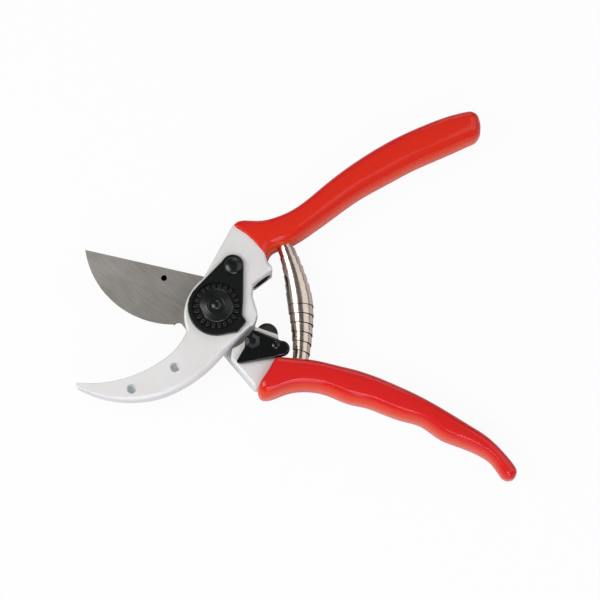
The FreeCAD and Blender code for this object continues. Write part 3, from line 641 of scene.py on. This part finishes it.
def grip_sheet(knots, lip_mm, end_mm, skew, draft, bow_mm, steps=220, columns=96):
    """Sections along the grip: |across / width| ** p + |up / height| ** p = 1, with p from the knots.

    The width and the height both shrink by a quarter round at the lip and at the far end. The crest leans
    towards the far edge by the skew, and the upper half of the near wall leans in by the draft, as a share
    of the width. The lip's middle lies further along the handle than its sides, by the bow, which fades out
    over 10 mm. Returns the sheet and the wall value of each point: it rises from 0 to 1 between 0.84 and 0.96
    of the width, and where the crest leans, the slope on its near side has at least 0.3."""
    where, curve = natural_spline(np.array(knots, float), steps)
    far, near, low, high, power = curve[:, 0:2], curve[:, 2:4], curve[:, 4], curve[:, 5], curve[:, 6]
    inset = round_inset(where, lip_mm) + round_inset(where[-1] - where, end_mm)
    across = (far - near) / 2
    width = np.linalg.norm(across, axis=1)
    across = across / width[:, None]
    width = np.maximum(width - inset, 0.05)
    height = np.maximum((high - low) / 2 - inset, 0.05)
    angle = np.linspace(0, 2 * math.pi, columns, endpoint=False)
    exponent = 2 / power[:, None]
    side = np.sign(np.cos(angle)) * np.abs(np.cos(angle)) ** exponent
    up = np.sign(np.sin(angle)) * np.abs(np.sin(angle)) ** exponent
    lean = side + skew * np.clip(up, 0, 1) * (1 - side ** 2)
    lean = lean * np.where(lean < 0, 1 - draft * np.clip(up, 0, 1) ** 2, 1)
    middle = (far + near) / 2
    sheet = np.empty((steps, columns, 3))
    along = np.gradient(middle, axis=0)
    along /= np.linalg.norm(along, axis=1, keepdims=True)
    bowed = bow_mm * np.clip(1 - where / 10, 0, 1)[:, None] ** 2 * (1 - lean ** 2)
    sheet[..., :2] = middle[:, None] + across[:, None] * (width[:, None] * lean)[..., None]
    sheet[..., :2] += along[:, None] * bowed[..., None]
    sheet[..., 2] = ((high + low) / 2)[:, None] + height[:, None] * up
    # the wall value marks where orange light is painted: the steep walls, and the slope in front of a leaning
    # crest
    edges = np.clip((np.abs(side) - 0.84) / 0.12, 0, 1)
    slope = 0.3 * np.clip((2 * skew - side) / 0.25, 0, 1) * np.sign(skew)
    return sheet, np.maximum(edges, slope)


def make_grip(name, knots, lip_mm, end_mm, skew, draft, bow_mm, body):
    """A grip that rides on a body, with its wall value stored for the painted orange light on its walls."""
    sheet, wall = grip_sheet(knots, lip_mm, end_mm, skew, draft, bow_mm)
    mesh = tube_mesh(name, sheet)
    set_attribute(mesh, "wall", wall)
    return add_piece(name, mesh, vinyl, body, [body + "_grip"])


# %% [markdown]
# Each knot is: far edge x and y, near edge x and y, lowest and highest z, and the squareness of the section.
# The upper grip is one even bow. The lower one has swells along its near side, which part the fingers.

# %% The two grips
upper_knots = [
    (6.3, 37.2, 22.0, 22.0, 1.2, 18.3, 6.0), (8.9, 39.6, 23.0, 25.4, 0.8, 18.5, 5.0),
    (17.0, 40.0, 27.0, 28.6, 0.4, 18.6, 4.2), (25.0, 41.6, 33.4, 31.0, 0.2, 18.6, 3.6),
    (34.3, 46.1, 42.2, 36.6, 0.0, 18.6, 3.2), (46.2, 55.9, 51.7, 43.6, 0.0, 18.6, 3.0),
    (56.8, 64.5, 62.8, 51.8, 0.0, 18.6, 3.0), (69.7, 73.4, 76.6, 59.8, 0.0, 18.6, 3.0),
    (81.2, 80.0, 87.6, 65.9, 0.0, 18.6, 3.0), (92.7, 85.3, 98.1, 70.7, 0.0, 18.6, 3.0),
    (104.3, 89.7, 108.6, 75.5, 0.2, 18.4, 3.0), (111.3, 91.6, 114.2, 78.0, 0.5, 18.1, 2.8),
    (116.9, 92.8, 118.9, 79.8, 0.9, 17.7, 2.6),
]
lower_knots = [
    (26.4, -21.9, 17.7, -35.8, 1.0, 17.8, 6.0), (28.6, -21.9, 18.6, -38.5, 0.6, 18.2, 5.0),
    (33.0, -22.2, 22.5, -39.8, 0.3, 18.5, 4.4), (38.0, -22.6, 30.0, -37.1, 0.1, 18.6, 4.0),
    (44.5, -23.5, 39.0, -35.8, 0.0, 18.6, 3.8), (53.0, -25.5, 48.4, -37.5, 0.0, 18.6, 3.6),
    (61.5, -27.6, 57.0, -41.1, 0.0, 18.6, 3.6), (70.5, -30.7, 65.5, -43.1, 0.0, 18.6, 3.6),
    (79.5, -34.6, 73.5, -46.1, 0.0, 18.6, 3.6), (88.5, -38.9, 82.0, -49.1, 0.0, 18.6, 3.6),
    (97.0, -43.7, 90.0, -51.6, 0.0, 18.6, 3.6), (104.5, -48.3, 97.5, -56.9, 0.0, 18.6, 3.6),
    (112.0, -53.0, 106.0, -60.5, 0.1, 18.4, 3.4), (119.0, -57.7, 114.2, -64.0, 0.6, 17.8, 3.2),
    (124.8, -63.2, 119.8, -67.8, 1.4, 16.8, 3.0), (129.3, -68.4, 122.9, -72.1, 2.4, 15.6, 2.8),
    (132.7, -73.7, 126.6, -77.7, 3.2, 14.6, 2.8),
]
make_grip("upper_grip", upper_knots, 1.0, 4.6, 0.25, 0.12, 1.9, "hook_handle")
make_grip("lower_grip", lower_knots, 1.2, 4.0, 0.0, 0.26, 0.3, "blade_handle")

# %% [markdown]
# ## The nut and its locking plate
# The nut's body is filed flat on two sides, and its flange is cut into a ring of teeth.
# The teeth lie in a round recess in the plate, so the gaps between them look deep and dark.
# The flanks of the teeth get a grey painted highlight.

# %% Nut, toothed flange, screw and rivets
flange_top = 19.6
half_width, flat_direction = 6.7, 25
tooth_count, tooth_root, flank_cosine = 22, 7.8, 0.15


def two_flats(angle, radius, height):
    """Above the flange the radius ends at the flats: half_width over the cosine from a flat's normal."""
    flat = half_width / np.maximum(np.abs(np.cos(angle - math.radians(flat_direction))), 0.1)
    return np.where(height > flange_top, np.minimum(radius, flat), radius)


def teeth(angle, radius, height):
    """22 teeth: outside the root circle, the distance to it is scaled by a squared-off cosine."""
    share = 0.5 + 0.5 * np.tanh(3.5 * (np.cos(tooth_count * angle) - flank_cosine))
    return np.where(radius > tooth_root, tooth_root + (radius - tooth_root) * share, radius)


nut_profile = rounded_profile([(6.0, 19.2), (7.7, 19.3), (7.7, 20.7), (7.2, 20.95), (4.4, 21.6), (4.0, 21.75),
                               (3.2, 21.5), (2.0, 21.5), (1.5, 21.9), (0.8, 22.1), (0.05, 22.15)], 70, 0.25)
rim_profile = rounded_profile([(6.0, 19.7), (9.9, 19.7), (10.2, 19.45), (10.2, 18.2), (6.0, 18.2)], 50, 0.12)
rim_columns = 24 * tooth_count
rim_angle = np.linspace(0, 2 * math.pi, rim_columns, endpoint=False)
# the flanks on the teeth's top get a grey painted highlight, at most 0.35 of the grey
flank_highlight_share = np.exp(-((np.cos(tooth_count * rim_angle) - flank_cosine) / 0.3) ** 2)
rim_high = (rim_profile[:, 1] > 19.3) & (rim_profile[:, 0] > 8.2)
nut_sheet = turned_sheet((0, 0), nut_profile, 144, two_flats)
rim_sheet = turned_sheet((0, 0), rim_profile, rim_columns, teeth)
nut_mesh = tube_mesh("toothed_nut", nut_sheet, rim_sheet, sharp=50)
set_attribute(nut_mesh, "painted_shade_and_highlight", np.zeros(nut_sheet.shape[:2]), 0.35 * rim_high[:, None] * flank_highlight_share)
add_piece("toothed_nut", nut_mesh, black_steel, "hook_handle", ["adjusting_nut"])

screw_spot = (7.2, 18.1)
screw_profile = rounded_profile([(3.0, 19.0), (4.0, 19.2), (4.0, 20.0), (3.4, 20.6), (2.0, 21.1),
                                 (0.05, 21.3)])
add_piece("plate_screw", tube_mesh("plate_screw", turned_sheet(screw_spot, screw_profile)), black_steel,
          "hook_handle", ["segment_screw"])

rivet_profile = rounded_profile([(1.9, 10.5), (2.1, 10.6), (2.1, 17.55), (2.05, 17.65), (1.8, 17.65),
                                 (1.65, 17.55), (0.05, 17.5)], 120, 0.06)
rivet_mesh = tube_mesh("hook_rivets", turned_sheet((-18.2, -27.4), rivet_profile, 64),
                       turned_sheet((-37.0, -37.0), rivet_profile, 64))
add_piece("hook_rivets", rivet_mesh, zinc, "hook_handle", ["counter_blade_rivets"])

segment_outline = [
    (2.5, 20.8, None, 0.5), (-9.3, 8.2, -12.7, 0.5), (2.7, -12.9, None, 0.5), (9.2, -11.7, None, 0.5),
    (13.2, -7.0, None, 0.5), (11.3, -4.0, None, 0.5), (11.7, 2.2, None, 0.5), (11.8, 18.4, -4.9, 0.5),
]
segment_slab = slab_mesh("plate", segment_outline, 17.5, 19.3, corner_mm=0.5, low_edge=0.1)
segment_mesh = carve("locking_plate", segment_slab, [], [tube_mesh("groove", rod(10.8, 18.1, 21.0))])
even_light(add_piece("locking_plate", segment_mesh, black_steel, "hook_handle",
                     ["locking_segment"]))

# %% [markdown]
# ## The thumb catch
# The catch is moulded nylon: a flat lever with a low raised dome for the thumb, held by a hexagon screw.
# It turns about the screw, so its screw rides on the handle and the lever on its own body.

# %% Catch and its screw
def six_sides(angle, radius, height):
    """A hexagon: the radius over the cosine from the nearest side's normal."""
    return radius / np.cos((angle + math.pi / 6) % (math.pi / 3) - math.pi / 6)


catch_outline = [
    (*polar(18.7, -32), None, 0.5), (18.6, -10.7, None, 0.8), (28.6, -14.7, 3.9, 1.5),
    (32.3, -18.2, 3.9, 1.5), (28.6, -21.8, None, 1.5), (26.0, -22.4, None, 0.9), (10.2, -25.2, None, 0.4),
    (8.7, -24.4, None, 0.4),
    (12.4, -17.8, None, 0.5), (12.7, -14.0, None, 0.5), (14.6, -11.8, None, 0.5),
]
lever_slab = slab_mesh("thumb_catch", catch_outline, 13.85, 16.45, corner_mm=0.45, low_edge=0.2)
dome_profile = rounded_profile([(2.3, 16.0), (2.1, 16.5), (1.7, 16.95), (0.9, 17.3), (0.05, 17.4)], 40, 0.3)
dome_mesh = tube_mesh("thumb_dome", turned_sheet((26.0, -16.9), dome_profile, 64))
catch_mesh = carve("thumb_lever", lever_slab, [dome_mesh], [], 50)
even_light(add_piece("thumb_lever", catch_mesh, nylon, "thumb_catch", ["thumb_catch"]))

catch_pivot = (15.87, -15.38)
hex_profile = rounded_profile([(1.6, 12.0), (1.65, 16.5), (3.1, 16.6), (3.1, 17.2), (1.5, 18.0),
                               (0.05, 18.1)], 90, 0.06)
hex_sheet = turned_sheet(catch_pivot, hex_profile, 96, six_sides)
add_piece("lever_screw", tube_mesh("lever_screw", hex_sheet, sharp=20), black_steel, "blade_handle",
          ["catch_screw"])

# %% [markdown]
# ## The return spring
# The spring is one flat strip, wound so that each turn lies partly inside its neighbour. It is widest in
# the middle and narrow at both ends, and it bows a little. A helix with a flat, wide cross-section says this
# exactly: the strip's turns overlap because the strip is wider than the distance from turn to turn.

# %% Wind the strip
def spring_sheet(top, bottom, bow, turns, end_radius, middle_radius, strip_width, strip_thick, per_turn=48):
    """A strip whose middle runs along a helix; its section is a thin rectangle that lies along the axis.

    The axis runs from top to bottom and bows sideways by a parabola. The radius grows evenly from the ends
    to the middle, so each turn clears the next. Columns go round the section; the second array is 1 on the
    strip's lower edge, where shade is painted for the gap under the next turn."""
    share = np.linspace(0, 1, turns * per_turn + 1)
    turn = 2 * math.pi * turns * share
    chord = bottom - top
    length = np.linalg.norm(chord)
    along = chord / length
    sideways = np.array([-along[1], along[0], 0.0])
    up = np.array([0.0, 0.0, 1.0])
    away = np.sqrt((2 * share - 1) ** 2 + 0.002)
    radius = end_radius + (middle_radius - end_radius) * (1 - away)
    section = np.array([(-1, 0), (-1, 1), (0.9, 1), (0.93, 1), (1, 1), (1, 0)])
    place = np.clip(share[:, None] + section[:, 0] * strip_width / 2 / length, 0, 1)
    axis = top + place[..., None] * chord + (bow * 4 * place * (1 - place))[..., None] * sideways
    tangent = along + (bow * 4 * (1 - 2 * place) / length)[..., None] * sideways
    tangent /= np.linalg.norm(tangent, axis=-1, keepdims=True)
    outward = np.cross(tangent, up)
    distance = radius[:, None] + section[:, 1] * strip_thick
    round_way = np.cos(turn)[:, None, None] * outward + np.sin(turn)[:, None, None] * up
    # the second array marks the strip's lower edge, which gets painted shade
    return axis + distance[..., None] * round_way, np.tile(section[:, 0] > 0.92, (len(share), 1))


spring_top = np.array([29.6, 30.6, 9.3])
spring_bottom = np.array([36.9, -23.2, 9.3])
strip, painted_shade_and_highlight = spring_sheet(spring_top, spring_bottom, 3.5, 13, 3.0, 5.55, 6.0, 0.25)
spring_mesh = tube_mesh("return_spring_strip", strip, sharp=30)
set_attribute(spring_mesh, "painted_shade_and_highlight", painted_shade_and_highlight)
spring = add_piece("return_spring_strip", spring_mesh, nickel, None, ["return_spring"])
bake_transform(spring)

# %% [markdown]
# ## Table, light and camera
# The shears lie on pale paper between four soft panels and a narrow strip, so their shadows are faint.
# The camera looks down with a long lens, from a little in front of the vertical.

# %% Table, light and camera
def make_table():
    """A square of paper: nearly pure white to the camera, and pale matt grey to light that bounces off it."""
    mesh = bpy.data.meshes.new("table")
    edge, level = 3.0, -0.0002
    corners = [(-edge, -edge, level), (edge, -edge, level), (edge, edge, level), (-edge, edge, level)]
    mesh.from_pydata(corners, [], [(0, 1, 2, 3)])
    table = link_object("table", mesh)
    material = bpy.data.materials.new("white_paper")
    material.use_nodes = True
    tree = material.node_tree
    tree.nodes.clear()
    paper = add_node(tree, "ShaderNodeBsdfDiffuse", {"Color": linear("#dcdcdc")})
    glow = add_node(tree, "ShaderNodeEmission", {"Color": (1, 1, 1, 1), "Strength": 1.0})
    path = add_node(tree, "ShaderNodeLightPath")
    glow_share = 0.94
    seen = add_node(tree, "ShaderNodeMath", {0: path.outputs["Is Camera Ray"], 1: glow_share},
                    operation="MULTIPLY")
    mixed = add_node(tree, "ShaderNodeMixShader", {0: seen.outputs[0], 1: paper.outputs[0],
                                                   2: glow.outputs[0]})
    add_node(tree, "ShaderNodeOutputMaterial", {"Surface": mixed.outputs[0]})
    mesh.materials.append(material)


def soft_box(name, place, target, size, power, colour):
    """An area light of a width and height, at a place and facing its target, in metres and watts."""
    data = bpy.data.lights.new(name, "AREA")
    data.shape = "RECTANGLE"
    data.size, data.size_y = size
    data.energy = power
    data.color = linear(colour)[:3]
    lamp = link_object(name, data)
    lamp.location = place
    lamp.rotation_euler = (Vector(target) - lamp.location).to_track_quat("-Z", "Y").to_euler()


make_table()
centre = (0.0367, 0.005, 0.01)
panels = {
    "key": ((-0.75, -0.1, 0.8), (0.7, 0.7), 8.8, "#ffffff"),
    "front": ((0.15, -0.95, 0.5), (0.8, 0.8), 5.6, "#e6e6ff"),
    "front_strip": ((0.05, -0.8, 0.85), (0.9, 0.07), 2.0, "#ffffff"),
    "right": ((0.9, 0.1, 0.75), (1.2, 1.2), 5.0, "#ffffff"),
    "back": ((0.2, 1.0, 0.5), (0.6, 0.6), 1.8, "#ffffff"),
}
for name, (place, size, power, colour) in panels.items():
    soft_box(name, place, centre, size, power, colour)

world = bpy.data.worlds.new("studio")
bpy.context.scene.world = world
world.use_nodes = True
sky = world.node_tree.nodes["Background"].inputs
sky["Color"].default_value = (1, 1, 1, 1)
sky["Strength"].default_value = 0.14

camera_data = bpy.data.cameras.new("camera")
camera = link_object("camera", camera_data)
bpy.context.scene.camera = camera
distance = 1.1
half_view = 0.1332
elevation = math.radians(76)
camera.location = Vector(centre) + Vector((0, -math.cos(elevation), math.sin(elevation))) * distance
camera.rotation_euler = (math.pi / 2 - elevation, 0, 0)
camera_data.sensor_width = 36
camera_data.lens = camera_data.sensor_width / 2 * distance / half_view
camera_data.clip_start = 0.05
bpy.context.scene.view_settings.view_transform = "Standard"
print("camera at", [round(v, 3) for v in camera.location])
